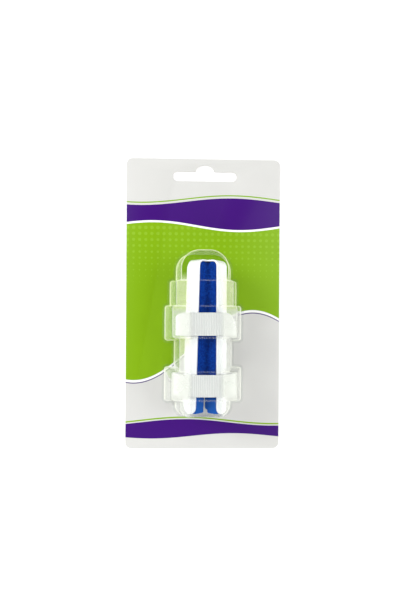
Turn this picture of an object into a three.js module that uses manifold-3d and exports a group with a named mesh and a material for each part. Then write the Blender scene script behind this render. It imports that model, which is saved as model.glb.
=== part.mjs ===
// A four-sided finger splint with two elastic bands, in a clear stepped blister on a plain hanging card.
// Millimetres. The card lies on its back with +Z up, X across it and Y along it, and Z = 0 is its back face.
// X = 0 and Y = 0 are the middle of the card.

import * as THREE from 'three';
import { mergeVertices } from 'three/addons/utils/BufferGeometryUtils.js';
import Module from 'manifold-3d';

const wasm = await Module();
wasm.setup();

// Clearances
const SEAT_GAP = 0.3;
const LAMINATE_GAP = 0.3;

// Card
const CARD_WIDTH = 76;
const CARD_LENGTH = 143.5;
const CARD_THICKNESS = 0.6;
const CARD_CORNER_RADIUS = 3;

// Hang hole: a long slot with a round hump above its middle
const SLOT_LENGTH = 31.75;
const SLOT_HEIGHT = 4.7;
const SLOT_BELOW_TOP_EDGE = 8.7;
const SLOT_OFFSET_X = 0.6;
const HUMP_WIDTH = 9.1;
const HUMP_RISE = 3.3;

// Splint: a cross of sheet aluminium, folded at the fingertip into four arms, lined with foam
const SPLINT_LENGTH = 70.9;
const ARM_WIDTH = 6.9;
const ARM_END_RADIUS = 3.2;
const METAL_THICKNESS = 0.8;
const FOAM_THICKNESS = 4.7;
const FOLD_RADIUS = 3.2;
const TIP_WIDTH = 18.8;
const BASE_WIDTH = 21.4;

// Where the splint lies in the pack
const SPLINT_MIDDLE_X = 0.8;
const SPLINT_TIP_Y = 19.5;
const SPLINT_ROLL_DEG = 2.7;
const SPLINT_LEAN_DEG = 0.65;

// Elastic bands: loose loops round the splint
const BAND_THICKNESS = 1.2;
const LOOP_WIDTH = 28.4;
const LOOP_FLAT_WIDTH = 11;
const LOOP_MIDDLE_X = 0.9;
const UPPER_BAND_WIDTH = 10.6;
const UPPER_BAND_BELOW_TIP = 29.8;
const LOWER_BAND_WIDTH = 10.2;
const LOWER_BAND_ABOVE_OPEN_END = 13.1;

// How far the upper band's top edge droops at each end of the loop, and over what width
const UPPER_BAND_DROOP = {
  left: { reach: 5, drop: 2.1 },
  right: { reach: 6, drop: 7.6 },
};

// Blister: one thin sheet, drawn into bays that step out round the bands
const SHEET_THICKNESS = 0.4;
const FLANGE_WIDTH = 1.5;
const BAY_RADIUS = 3;
const HEAD_RADIUS = 10;
const FOOT_RADIUS = 4;

// Each bay's clear room beyond what it holds: at its sides and its two ends at the card, and before its
// front. A draft is how far that wall comes in from the card to the front.
const HEAD_BAY = { side: 3.1, above: 5, front: 0.5, draft: 2.3, aboveDraft: 0.9 };
const SHOULDER_BAY = { side: 5.1, belowTip: 8.7, front: 0.6, draft: 3.2, aboveDraft: 1.2 };
const UPPER_BAY = { side: 3.5, above: 3.6, below: 2.4, front: 0.4, draft: 4, aboveDraft: 0.7, belowDraft: 1.5 };
const WAIST_BAY = { side: 2.9, front: 0.5, draft: 2.6 };
const LOWER_BAY = { side: 3.6, above: 1.7, below: 4.4, front: 0.4, draft: 3.9, aboveDraft: 0.4, belowDraft: 3 };
const FOOT_BAY = { side: 2.3, below: 3.2, front: 0.4, draft: 2.4, belowDraft: 2.2 };

// Facets in a quarter turn
const CORNER_STEPS = 6;
const LOOP_STEPS = 12;

const material = (color, roughness, metalness, extra = {}) =>
  new THREE.MeshStandardMaterial({ color, roughness, metalness, ...extra });

const MATERIALS = {
  card: material(0xdededc, 0.45, 0),
  aluminium: material(0xeceef0, 0.35, 0.6),
  foam: material(0x0b3fa0, 0.9, 0),
  elastic: material(0xf0f0ec, 0.85, 0),
  clear: material(0xf4f8fa, 0.08, 0, { transparent: true, opacity: 0.3 }),
};

// Solids and meshes
function toSolid(geometry) {
  const bare = geometry.clone();
  bare.deleteAttribute('normal');
  bare.deleteAttribute('uv');
  const merged = mergeVertices(bare, 1e-5);
  const vertProperties = Float32Array.from(merged.attributes.position.array);
  const triVerts = Uint32Array.from(merged.index.array);
  return new wasm.Manifold(new wasm.Mesh({ numProp: 3, vertProperties, triVerts }));
}

function toMesh(name, solid, meshMaterial) {
  const { vertProperties, triVerts } = solid.getMesh();
  const geometry = new THREE.BufferGeometry();
  geometry.setAttribute('position', new THREE.BufferAttribute(vertProperties, 3));
  geometry.setIndex(new THREE.BufferAttribute(triVerts, 1));
  geometry.computeVertexNormals();
  const mesh = new THREE.Mesh(geometry, meshMaterial);
  mesh.name = name;
  return mesh;
}

const union = (solids) => solids.reduce((all, solid) => all.add(solid));

const extrude = (shape, depth, curveSegments = CORNER_STEPS) =>
  new THREE.ExtrudeGeometry(shape, { depth, bevelEnabled: false, curveSegments });

// A rectangle with round corners, from its four sides
function roundedRectangle({ left, right, bottom, top }, radii) {
  const { low, high } = radii;
  const shape = new THREE.Shape();
  shape.moveTo(left + low, bottom);
  shape.lineTo(right - low, bottom);
  shape.absarc(right - low, bottom + low, low, -Math.PI / 2, 0);
  shape.lineTo(right, top - high);
  shape.absarc(right - high, top - high, high, 0, Math.PI / 2);
  shape.lineTo(left + high, top);
  shape.absarc(left + high, top - high, high, Math.PI / 2, Math.PI);
  shape.lineTo(left, bottom + low);
  shape.absarc(left + low, bottom + low, low, Math.PI, Math.PI * 1.5);
  return shape;
}

// Card
function hangHole() {
  const middleY = CARD_LENGTH / 2 - SLOT_BELOW_TOP_EDGE;
  const endRadius = SLOT_HEIGHT / 2;
  const endX = SLOT_LENGTH / 2 - endRadius;
  const slotTop = middleY + endRadius;
  const hole = new THREE.Path();
  hole.moveTo(SLOT_OFFSET_X - endX, middleY - endRadius);
  hole.lineTo(SLOT_OFFSET_X + endX, middleY - endRadius);
  hole.absarc(SLOT_OFFSET_X + endX, middleY, endRadius, -Math.PI / 2, Math.PI / 2);
  hole.lineTo(SLOT_OFFSET_X + HUMP_WIDTH / 2, slotTop);
  hole.absellipse(SLOT_OFFSET_X, slotTop, HUMP_WIDTH / 2, HUMP_RISE, 0, Math.PI, false, 0);
  hole.lineTo(SLOT_OFFSET_X - endX, slotTop);
  hole.absarc(SLOT_OFFSET_X - endX, middleY, endRadius, Math.PI / 2, Math.PI * 1.5);
  return hole;
}

function buildCard() {
  const outline = roundedRectangle(
    { left: -CARD_WIDTH / 2, right: CARD_WIDTH / 2, bottom: -CARD_LENGTH / 2, top: CARD_LENGTH / 2 },
    { low: CARD_CORNER_RADIUS, high: CARD_CORNER_RADIUS },
  );
  outline.holes.push(hangHole());
  return toMesh('card', toSolid(extrude(outline, CARD_THICKNESS)), MATERIALS.card);
}

// Splint. In its own frame Y runs from the open end to the fingertip, from 0 to SPLINT_LENGTH, and the
// arms stand across X and across Z. The arms part by the splay angle towards the open end.
const SPLAY = Math.atan((BASE_WIDTH - TIP_WIDTH) / 2 / (SPLINT_LENGTH - FOLD_RADIUS));
const FOLD_CENTRE = {
  across: TIP_WIDTH / 2 - FOLD_RADIUS,
  along: SPLINT_LENGTH - FOLD_RADIUS,
};

// The point at a depth under the outer face, at a turn round the fold from the arm to the cap
function foldPoint(depth, turn) {
  const radius = FOLD_RADIUS - depth;
  return new THREE.Vector2(
    FOLD_CENTRE.across + radius * Math.cos(turn),
    FOLD_CENTRE.along + radius * Math.sin(turn),
  );
}

// The point at a depth under an arm's outer face, at a place along the splint
function armPoint(depth, along) {
  const start = foldPoint(depth, SPLAY);
  return new THREE.Vector2(start.x + (start.y - along) * Math.tan(SPLAY), along);
}

// One side of a folded strip at a depth, from the open end over the cap to the middle
function foldedSide(depth) {
  const points = [armPoint(depth, 0)];
  if (depth < FOLD_RADIUS) {
    for (let step = 0; step <= CORNER_STEPS; step += 1) {
      points.push(foldPoint(depth, SPLAY + ((Math.PI / 2 - SPLAY) * step) / CORNER_STEPS));
    }
  } else {
    points.push(armPoint(depth, SPLINT_LENGTH - depth));
  }
  return points;
}

// A strip of two opposite arms and the cap between them, between two depths, with round arm ends
function foldedStrip(outerDepth, thickness) {
  const outer = foldedSide(outerDepth);
  const inner = foldedSide(outerDepth + thickness);
  const farSide = (points) => points.map(({ x, y }) => new THREE.Vector2(-x, y));
  const outerRun = [...outer, ...farSide(outer).reverse()];
  const innerRun = [...farSide(inner), ...inner.reverse()];
  const profile = new THREE.Shape([...outerRun, ...innerRun]);
  const strip = toSolid(extrude(profile, ARM_WIDTH)).translate([0, 0, -ARM_WIDTH / 2]);
  const plan = roundedRectangle(
    { left: -ARM_WIDTH / 2, right: ARM_WIDTH / 2, bottom: 0, top: SPLINT_LENGTH + 1 },
    { low: ARM_END_RADIUS, high: 0.5 },
  );
  const across = toSolid(extrude(plan, BASE_WIDTH * 2)).translate([0, 0, -BASE_WIDTH]).rotate([0, 90, 0]);
  return strip.intersect(across);
}

function foldedCross(outerDepth, thickness) {
  const strip = foldedStrip(outerDepth, thickness);
  return strip.add(strip.rotate([0, 90, 0]));
}

// How far the arms' edges reach from the splint's middle line, to the front and to the sides, where the
// arms' outer faces are at a distance across
function edgeReach(across) {
  const turn = Math.PI / 4 + Math.atan(ARM_WIDTH / 2 / across) + THREE.MathUtils.degToRad(SPLINT_ROLL_DEG);
  return Math.hypot(across, ARM_WIDTH / 2) * Math.sin(Math.min(turn, Math.PI / 2));
}

const TIP_REACH = edgeReach(TIP_WIDTH / 2);
const BASE_REACH = edgeReach(BASE_WIDTH / 2);
const LOOP_HALF_HEIGHT = BASE_REACH + SEAT_GAP + BAND_THICKNESS;
const SPLINT_HEIGHT = CARD_THICKNESS + SEAT_GAP + LOOP_HALF_HEIGHT;
const SPLINT_BASE_Y = SPLINT_TIP_Y - SPLINT_LENGTH;
const UPPER_Y = SPLINT_TIP_Y - UPPER_BAND_BELOW_TIP;
const LOWER_Y = SPLINT_BASE_Y + LOWER_BAND_ABOVE_OPEN_END;

function buildSplint() {
  const lie = new THREE.Group();
  lie.position.set(SPLINT_MIDDLE_X, SPLINT_TIP_Y - SPLINT_LENGTH / 2, SPLINT_HEIGHT);
  lie.rotation.z = -THREE.MathUtils.degToRad(SPLINT_LEAN_DEG);
  const turned = new THREE.Group();
  turned.rotation.y = -THREE.MathUtils.degToRad(45 - SPLINT_ROLL_DEG);
  const sheet = toMesh('splint_sheet', foldedCross(0, METAL_THICKNESS), MATERIALS.aluminium);
  const foamDepth = METAL_THICKNESS + LAMINATE_GAP;
  const foam = toMesh('foam_lining', foldedCross(foamDepth, FOAM_THICKNESS), MATERIALS.foam);
  for (const mesh of [sheet, foam]) {
    mesh.position.y = -SPLINT_LENGTH / 2;
    turned.add(mesh);
  }
  lie.add(turned);
  return lie;
}

// Bands
function loopOutline(path, inset) {
  const flat = LOOP_FLAT_WIDTH / 2;
  const sideReach = LOOP_WIDTH / 2 - flat - inset;
  const halfHeight = LOOP_HALF_HEIGHT - inset;
  path.moveTo(-flat, -halfHeight);
  path.lineTo(flat, -halfHeight);
  path.absellipse(flat, 0, sideReach, halfHeight, -Math.PI / 2, Math.PI / 2, false, 0);
  path.lineTo(-flat, halfHeight);
  path.absellipse(-flat, 0, sideReach, halfHeight, Math.PI / 2, Math.PI * 1.5, false, 0);
  return path;
}

// The band as seen from the front, with its top edge drooping at the two ends of the loop
function bandFront(width, droop) {
  const end = LOOP_WIDTH / 2;
  const half = width / 2;
  const { left, right } = droop;
  const shape = new THREE.Shape();
  shape.moveTo(-end, -half);
  shape.lineTo(end, -half);
  shape.lineTo(end, half - right.drop);
  shape.absellipse(end - right.reach, half - right.drop, right.reach, right.drop, 0, Math.PI / 2, false, 0);
  shape.lineTo(-end + left.reach, half);
  shape.absellipse(-end + left.reach, half - left.drop, left.reach, left.drop, Math.PI / 2, Math.PI, false, 0);
  return shape;
}

function buildBand(name, width, middleY, droop) {
  const section = loopOutline(new THREE.Shape(), 0);
  section.holes.push(loopOutline(new THREE.Path(), BAND_THICKNESS));
  let solid = toSolid(extrude(section, width, LOOP_STEPS)).translate([0, 0, -width / 2]).rotate([90, 0, 0]);
  if (droop) {
    const depth = LOOP_HALF_HEIGHT * 2 + 2;
    solid = solid.intersect(toSolid(extrude(bandFront(width, droop), depth)).translate([0, 0, -depth / 2]));
  }
  const mesh = toMesh(name, solid, MATERIALS.elastic);
  mesh.position.set(LOOP_MIDDLE_X, middleY, SPLINT_HEIGHT);
  return mesh;
}

// Blister. What lies in it, as half widths about the card's middle, heights and places along Y. The bays
// that run on under a neighbour end at the middle of the band there.
const BLISTER_FOOT_Z = CARD_THICKNESS + SEAT_GAP;
const HELD = {
  tip: { half: SPLINT_MIDDLE_X + TIP_REACH, top: SPLINT_HEIGHT + TIP_REACH },
  base: { half: SPLINT_MIDDLE_X + BASE_REACH, top: SPLINT_HEIGHT + BASE_REACH },
  band: { half: LOOP_MIDDLE_X + LOOP_WIDTH / 2, top: SPLINT_HEIGHT + LOOP_HALF_HEIGHT },
};

function bay(held, rooms, top, bottom, radii) {
  return {
    half: held.half + rooms.side,
    height: held.top + rooms.front + SHEET_THICKNESS,
    top: top + (rooms.above ?? 0),
    bottom: bottom - (rooms.below ?? 0),
    draft: rooms.draft,
    aboveDraft: rooms.aboveDraft ?? 0,
    belowDraft: rooms.belowDraft ?? 0,
    low: radii.low ?? BAY_RADIUS,
    high: radii.high ?? BAY_RADIUS,
  };
}

const UPPER_HALF = UPPER_BAND_WIDTH / 2;
const LOWER_HALF = LOWER_BAND_WIDTH / 2;

const BAYS = [
  bay(HELD.tip, HEAD_BAY, SPLINT_TIP_Y, UPPER_Y, { high: HEAD_RADIUS }),
  bay(HELD.base, SHOULDER_BAY, SPLINT_TIP_Y - SHOULDER_BAY.belowTip, UPPER_Y, {}),
  bay(HELD.band, UPPER_BAY, UPPER_Y + UPPER_HALF, UPPER_Y - UPPER_HALF, {}),
  bay(HELD.base, WAIST_BAY, UPPER_Y, LOWER_Y, {}),
  bay(HELD.band, LOWER_BAY, LOWER_Y + LOWER_HALF, LOWER_Y - LOWER_HALF, {}),
  bay(HELD.base, FOOT_BAY, LOWER_Y, SPLINT_BASE_Y, { low: FOOT_RADIUS }),
];

// A bay narrows evenly from the card to its front
function bayRectangle(held, inset, z) {
  const rise = (z - BLISTER_FOOT_Z) / (held.height - BLISTER_FOOT_Z);
  const half = held.half - inset - held.draft * rise;
  return {
    left: -half,
    right: half,
    bottom: held.bottom + inset + held.belowDraft * rise,
    top: held.top - inset - held.aboveDraft * rise,
  };
}

function bayShape(held, inset, z) {
  return roundedRectangle(bayRectangle(held, inset, z), { low: held.low - inset, high: held.high - inset });
}

// A block whose outline goes evenly from one rectangle at its foot to another at its top
function bayBlock(held, inset, lowZ, highZ) {
  const low = bayRectangle(held, inset, lowZ);
  const high = bayRectangle(held, inset, highZ);
  const geometry = extrude(bayShape(held, inset, lowZ), highZ - lowZ);
  const position = geometry.attributes.position;
  const { mapLinear } = THREE.MathUtils;
  for (let i = 0; i < position.count; i += 1) {
    if (position.getZ(i) > (highZ - lowZ) / 2) {
      position.setX(i, mapLinear(position.getX(i), low.left, low.right, high.left, high.right));
      position.setY(i, mapLinear(position.getY(i), low.bottom, low.top, high.bottom, high.top));
    }
  }
  return toSolid(geometry).translate([0, 0, lowZ]);
}

function bayFlange(held) {
  return toSolid(extrude(bayShape(held, -FLANGE_WIDTH, BLISTER_FOOT_Z), SHEET_THICKNESS))
    .translate([0, 0, BLISTER_FOOT_Z]);
}

function buildBlister() {
  const outside = union(BAYS.map((held) => bayBlock(held, 0, BLISTER_FOOT_Z, held.height)));
  const flange = union(BAYS.map(bayFlange));
  const inside = union(
    BAYS.map((held) => bayBlock(held, SHEET_THICKNESS, BLISTER_FOOT_Z - 1, held.height - SHEET_THICKNESS)),
  );
  return toMesh('blister', outside.add(flange).subtract(inside), MATERIALS.clear);
}

const pack = new THREE.Group();
pack.add(buildCard());
pack.add(buildSplint());
pack.add(buildBand('upper_band', UPPER_BAND_WIDTH, UPPER_Y, UPPER_BAND_DROOP));
pack.add(buildBand('lower_band', LOWER_BAND_WIDTH, LOWER_Y, null));
pack.add(buildBlister());

export default pack;
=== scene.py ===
"""A four-sided finger splint with two elastic bands, in a clear blister on a hanging card.

Each piece of the pack is modelled by one operator, in metres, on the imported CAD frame. The card lies on
its back with +Z up, X across it and Y along it.
"""

import math

import bmesh
import bpy
from bpy.props import FloatProperty, FloatVectorProperty, IntProperty, PointerProperty
from bpy.types import Operator, Panel, PropertyGroup
from mathutils import Matrix, Vector


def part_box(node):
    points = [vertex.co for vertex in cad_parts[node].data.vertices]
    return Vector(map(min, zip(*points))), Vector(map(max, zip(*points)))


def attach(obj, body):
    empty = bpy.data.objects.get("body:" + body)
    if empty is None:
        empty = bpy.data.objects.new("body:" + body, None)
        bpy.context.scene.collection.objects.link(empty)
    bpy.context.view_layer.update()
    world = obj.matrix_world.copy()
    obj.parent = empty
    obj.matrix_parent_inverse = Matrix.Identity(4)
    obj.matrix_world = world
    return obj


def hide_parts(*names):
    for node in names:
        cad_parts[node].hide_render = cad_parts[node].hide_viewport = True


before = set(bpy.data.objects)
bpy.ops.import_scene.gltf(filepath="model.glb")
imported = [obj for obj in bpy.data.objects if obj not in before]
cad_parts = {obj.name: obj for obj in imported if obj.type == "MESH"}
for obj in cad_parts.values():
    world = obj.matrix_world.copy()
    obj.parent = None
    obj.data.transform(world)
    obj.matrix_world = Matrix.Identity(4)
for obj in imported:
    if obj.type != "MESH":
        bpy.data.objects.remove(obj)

bl_info = {
    "name": "Finger Splint Pack",
    "version": (1, 0, 0),
    "blender": (4, 5, 0),
    "location": "3D View > Sidebar > Splint Pack",
    "description": "Models a four-sided finger splint with elastic bands in a clear blister on a card",
    "category": "Add Mesh",
}

MM = 0.001
BODY = "root"
UP = Vector((0, 0, 1))
ALONG = Vector((0, 1, 0))

CARD_LOW, CARD_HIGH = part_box("card")
UPPER_LOW, UPPER_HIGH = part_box("upper_band")
LOWER_LOW, LOWER_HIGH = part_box("lower_band")
BLISTER_LOW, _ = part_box("blister")


# Selecting and shaping


def leave_edit_mode():
    if bpy.context.object and bpy.context.object.mode != "OBJECT":
        bpy.ops.object.mode_set(mode="OBJECT")


def clear_selection():
    leave_edit_mode()
    bpy.ops.object.select_all(action="DESELECT")


def named_piece(name):
    piece = bpy.context.object
    piece.name = name
    piece.data.name = name
    return piece


def select_only(piece):
    clear_selection()
    piece.select_set(True)
    bpy.context.view_layer.objects.active = piece


def edit(piece):
    select_only(piece)
    bpy.ops.object.mode_set(mode="EDIT")


def items_of(piece, kind):
    shape = bmesh.from_edit_mesh(piece.data)
    return {"VERT": shape.verts, "EDGE": shape.edges, "FACE": shape.faces}[kind]


def pick(piece, kind, wanted):
    """Select only the vertices, edges or faces that are wanted."""
    bpy.ops.mesh.select_mode(type=kind)
    bpy.ops.mesh.select_all(action="DESELECT")
    found = [item for item in items_of(piece, kind) if wanted(item)]
    if not found:
        raise RuntimeError(f"nothing to select on {piece.name}")
    for item in found:
        item.select_set(True)
    bmesh.update_edit_mesh(piece.data)


def middle(item):
    """The middle of an edge or a face."""
    total = Vector((0, 0, 0))
    for vertex in item.verts:
        total += vertex.co
    return total / len(item.verts)


def upright(edge):
    first, second = edge.verts
    return near(first.co.x, second.co.x) and near(first.co.y, second.co.y)


def extrude_by(move):
    bpy.ops.mesh.extrude_region_move(TRANSFORM_OT_translate={"value": move})


def near(value, target, within=0.01 * MM):
    return abs(value - target) < within


def apply_modifier(piece, kind, **settings):
    leave_edit_mode()
    bpy.context.view_layer.objects.active = piece
    modifier = piece.modifiers.new(kind.title(), kind)
    for name, value in settings.items():
        setattr(modifier, name, value)
    bpy.ops.object.modifier_apply(modifier=modifier.name)


def settle(piece):
    """Put the piece's place into its mesh, so that its object is at the origin, unturned."""
    select_only(piece)
    bpy.ops.object.transform_apply(location=True, rotation=True, scale=True)


def smooth(piece, degrees=35):
    select_only(piece)
    bpy.ops.object.shade_smooth_by_angle(angle=math.radians(degrees))


def block(name, sides, place):
    """A block with these sides, and its middle at this place."""
    clear_selection()
    bpy.ops.mesh.primitive_cube_add(size=1, location=place)
    piece = named_piece(name)
    piece.scale = sides
    settle(piece)
    return piece


def round_edges(piece, radius, segments, degrees):
    """Bevel the edges that bend by more than this angle."""
    apply_modifier(
        piece,
        "BEVEL",
        width=radius,
        segments=segments,
        limit_method="ANGLE",
        angle_limit=math.radians(degrees),
    )


def turn_outwards(piece, measure, way, weld=0.0):
    """Weld close vertices, and turn the faces so that the one that measures most looks this way."""
    bpy.ops.mesh.select_all(action="SELECT")
    if weld:
        bpy.ops.mesh.remove_doubles(threshold=weld)
    bpy.ops.mesh.normals_make_consistent(inside=False)
    if max(items_of(piece, "FACE"), key=measure).normal.dot(way) < 0:
        bpy.ops.mesh.flip_normals()


def hand_over(piece, node):
    """The piece stands for a CAD node and rides on the pack."""
    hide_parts(node)
    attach(piece, BODY)


# Materials

# The mix node's sockets for colours
MIX_SHARE, MIX_FIRST, MIX_SECOND = 0, 6, 7
MIX_RESULT = 2


class Finish:
    """One material's nodes, laid out from left to right as they are added."""

    def __init__(self, name):
        self.material = bpy.data.materials.new(name)
        self.material.use_nodes = True
        self.tree = self.material.node_tree
        self.tree.nodes.clear()
        self.column = 0

    def add(self, kind, inputs=None, **settings):
        """A new node. The inputs hold what its sockets take, by the sockets' names or numbers."""
        node = self.tree.nodes.new(kind)
        node.location = (self.column * 190, 0)
        self.column += 1
        for name, value in settings.items():
            setattr(node, name, value)
        for key, value in (inputs or {}).items():
            if isinstance(value, bpy.types.NodeSocket):
                self.tree.links.new(value, node.inputs[key])
            else:
                node.inputs[key].default_value = value
        return node

    def math(self, operation, first, second=0.0, third=0.0):
        inputs = {0: first, 1: second, 2: third}
        return self.add("ShaderNodeMath", inputs, operation=operation).outputs[0]

    def vector_math(self, operation, *values):
        node = self.add("ShaderNodeVectorMath", dict(enumerate(values)), operation=operation)
        return node.outputs["Value" if operation == "LENGTH" else "Vector"]

    def times(self, first, second):
        return self.math("MULTIPLY", first, second)

    def less(self, first, second):
        return self.math("SUBTRACT", first, second)

    def remainder(self, share):
        """What a share leaves of one."""
        return self.less(1.0, share)

    def between(self, value, low, high, smoothly=True):
        """0 below low and 1 above high."""
        kind = "SMOOTHSTEP" if smoothly else "LINEAR"
        inputs = {"Value": value, "From Min": low, "From Max": high}
        return self.add("ShaderNodeMapRange", inputs, interpolation_type=kind).outputs["Result"]

    def scaled(self, value, low, high):
        """A value from 0 to 1 moved to lie from low to high."""
        inputs = {"Value": value, "To Min": low, "To Max": high}
        return self.add("ShaderNodeMapRange", inputs).outputs["Result"]

    def mix(self, share, first, second, blend_type="MIX"):
        inputs = {MIX_SHARE: share, MIX_FIRST: colour(first), MIX_SECOND: colour(second)}
        node = self.add("ShaderNodeMix", inputs, data_type="RGBA", blend_type=blend_type)
        return node.outputs[MIX_RESULT]

    def blend(self, share, first, second):
        """Two shaders mixed by the share."""
        return self.add("ShaderNodeMixShader", {0: share, 1: first, 2: second}).outputs[0]

    def add_share(self, value, share, other):
        """The value, moved towards another number by the share."""
        kept = self.times(value, self.remainder(share))
        return self.math("MULTIPLY_ADD", share, other, kept)

    def place(self, scale=(1, 1, 1)):
        """Object coordinates, stretched."""
        source = self.add("ShaderNodeTexCoord").outputs["Object"]
        return self.add("ShaderNodeMapping", {"Vector": source, "Scale": scale}).outputs["Vector"]

    def millimetres(self):
        return self.place(scale=(1 / MM, 1 / MM, 1 / MM))

    def axes(self, vector):
        return self.add("ShaderNodeSeparateXYZ", {0: vector}).outputs

    def facing_up(self):
        """How far the surface looks up, from its normal."""
        return self.axes(self.add("ShaderNodeNewGeometry").outputs["Normal"])[2]

    def noise(self, vector, scale, detail=4.0, roughness=0.55):
        inputs = {"Vector": vector, "Scale": scale, "Detail": detail, "Roughness": roughness}
        return self.add("ShaderNodeTexNoise", inputs).outputs["Fac"]

    def cells(self, vector, scale):
        return self.add("ShaderNodeTexVoronoi", {"Vector": vector, "Scale": scale}).outputs["Distance"]

    def bump(self, height, distance, strength):
        inputs = {"Height": height, "Distance": distance, "Strength": strength}
        return self.add("ShaderNodeBump", inputs).outputs["Normal"]

    def principled(self, **inputs):
        inputs = {name.replace("_", " "): value for name, value in inputs.items()}
        return self.add("ShaderNodeBsdfPrincipled", inputs).outputs["BSDF"]

    def finish(self, surface):
        self.add("ShaderNodeOutputMaterial", {"Surface": surface})
        return self.material

    def coat(self, **inputs):
        """End with one principled shader."""
        return self.finish(self.principled(**inputs))


def colour(value):
    """A colour property as the four numbers that a socket takes."""
    if isinstance(value, bpy.types.NodeSocket) or len(value) == 4:
        return value
    return (*value, 1.0)


# The print's wavy lines: each one's height on the card, its swing and its length, in millimetres, and the
# angle that it starts from
WAVES = {
    "crown": (50.5, 1.9, 92, 0.6),
    "shoulder": (38.8, 2.2, 84, 3.4),
    "valley": (-20.5, 17.5, 118, 0.25),
    "hem": (-58.9, 1.6, 88, 2.2),
    "foot": (-65.6, 1.3, 80, 0.4),
}
INK_EDGE = 0.06
DOT_PITCH = 3.0
DOT_RADIUS = 1.05
DOT_STRENGTH = 0.32
DOTS_FROM, DOTS_TO = 2.0, 44.0


def printed_card(settings):
    """Coated paperboard with a plain two-colour print of waves and dots."""
    finish = Finish("printed_card")
    millimetres = finish.millimetres()
    across, along, _ = finish.axes(millimetres)

    def wave(name):
        """A line across the card that rises and falls."""
        height, swing, length, start = WAVES[name]
        turn = finish.math("MULTIPLY_ADD", across, 2 * math.pi / length, start)
        return finish.math("MULTIPLY_ADD", finish.math("SINE", turn), swing, height)

    def above(line, offset=0.0):
        return finish.between(finish.less(along, line), offset - INK_EDGE, offset + INK_EDGE)

    def stripe(line, low, high):
        """1 between two offsets from a line."""
        return finish.less(above(line, low), above(line, high))

    crown, shoulder, valley, hem, foot = [wave(name) for name in WAVES]

    paper = finish.mix(finish.noise(millimetres, 0.05, 2), settings.paper, settings.paper_shade)
    green = finish.mix(finish.noise(millimetres, 0.03, 2), settings.field, settings.field_shade)

    # Dots in the green field shrink away from its top
    shifted = finish.vector_math("ADD", millimetres, (100 * DOT_PITCH, 100 * DOT_PITCH, 0.0))
    grid = finish.vector_math("MODULO", shifted, (DOT_PITCH, DOT_PITCH, 1000.0))
    cell_x, cell_y, _ = finish.axes(grid)
    from_x = finish.math("POWER", finish.less(cell_x, DOT_PITCH / 2), 2)
    from_y = finish.math("POWER", finish.less(cell_y, DOT_PITCH / 2), 2)
    from_dot = finish.math("SQRT", finish.math("ADD", from_x, from_y))
    dot_size = finish.scaled(finish.between(along, DOTS_FROM, DOTS_TO, False), 0.0, DOT_RADIUS)
    dots = finish.math("LESS_THAN", from_dot, dot_size)
    green = finish.mix(finish.times(dots, DOT_STRENGTH), green, settings.dot)

    inside_field = finish.times(above(valley), finish.remainder(above(shoulder)))
    printed = finish.mix(inside_field, paper, green)
    printed = finish.mix(stripe(valley, -1.15, -0.1), printed, settings.line)
    printed = finish.mix(stripe(valley, -1.75, -1.3), printed, settings.band_shade)

    top_band = finish.times(above(shoulder), finish.remainder(above(crown)))
    low_band = finish.times(above(foot), finish.remainder(above(hem)))
    bands = finish.math("MAXIMUM", top_band, low_band)
    violet = finish.mix(finish.noise(millimetres, 0.04, 2), settings.band, settings.band_shade)
    printed = finish.mix(bands, printed, violet)
    printed = finish.mix(stripe(shoulder, -0.9, 0.1), printed, settings.line)
    printed = finish.mix(stripe(hem, 0.6, 1.3), printed, settings.field)
    printed = finish.mix(stripe(crown, 1.0, 1.6), printed, settings.field)

    # The cut edge and the back are bare board
    front = finish.between(finish.facing_up(), 0.55, 0.8)
    fibre = finish.noise(millimetres, 2.4, 5, 0.65)
    board = finish.mix(fibre, settings.board, settings.board_shade)
    face = finish.mix(front, board, printed)
    grain = finish.noise(millimetres, 5.5, 3, 0.6)
    face = finish.mix(finish.scaled(grain, 0.0, 0.06), face, (0.5, 0.5, 0.5, 1.0), "OVERLAY")
    rough = finish.mix(front, (0.85, 0.85, 0.85, 1.0), (0.36, 0.36, 0.36, 1.0))
    rough = finish.math("MULTIPLY_ADD", grain, 0.1, finish.less(rough, 0.05))
    return finish.coat(
        Base_Color=face,
        Roughness=rough,
        Specular_IOR_Level=0.2,
        Normal=finish.bump(fibre, 0.012 * MM, 0.5),
    )


def satin_aluminium(settings):
    """Bright rolled sheet, with fine streaks along each arm."""
    finish = Finish("satin_aluminium")
    along_splint = finish.place(scale=(2600, 60, 2600))
    streaks = finish.noise(along_splint, 1.0, 5, 0.6)
    plain = finish.millimetres()
    clouds = finish.noise(plain, 0.16, 3)
    shade = finish.math("MULTIPLY_ADD", streaks, 0.35, finish.times(clouds, 0.45))
    rough = finish.scaled(finish.math("ADD", streaks, finish.times(clouds, 0.4)), 0.26, 0.4)
    return finish.coat(
        Base_Color=finish.mix(shade, settings.metal, settings.metal_shade),
        Metallic=0.35,
        Roughness=rough,
        Specular_IOR_Level=0.6,
        Normal=finish.bump(streaks, 0.004 * MM, 0.4),
    )


# How far from the splint's axis the foam's painted valley shade reaches, and where along the card it is
# painted paler
VALLEY_SHADE_FROM, VALLEY_SHADE_TO = 3.6, 6.1
LIT_END_FROM, LIT_END_TO = -42.0, -46.0


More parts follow.
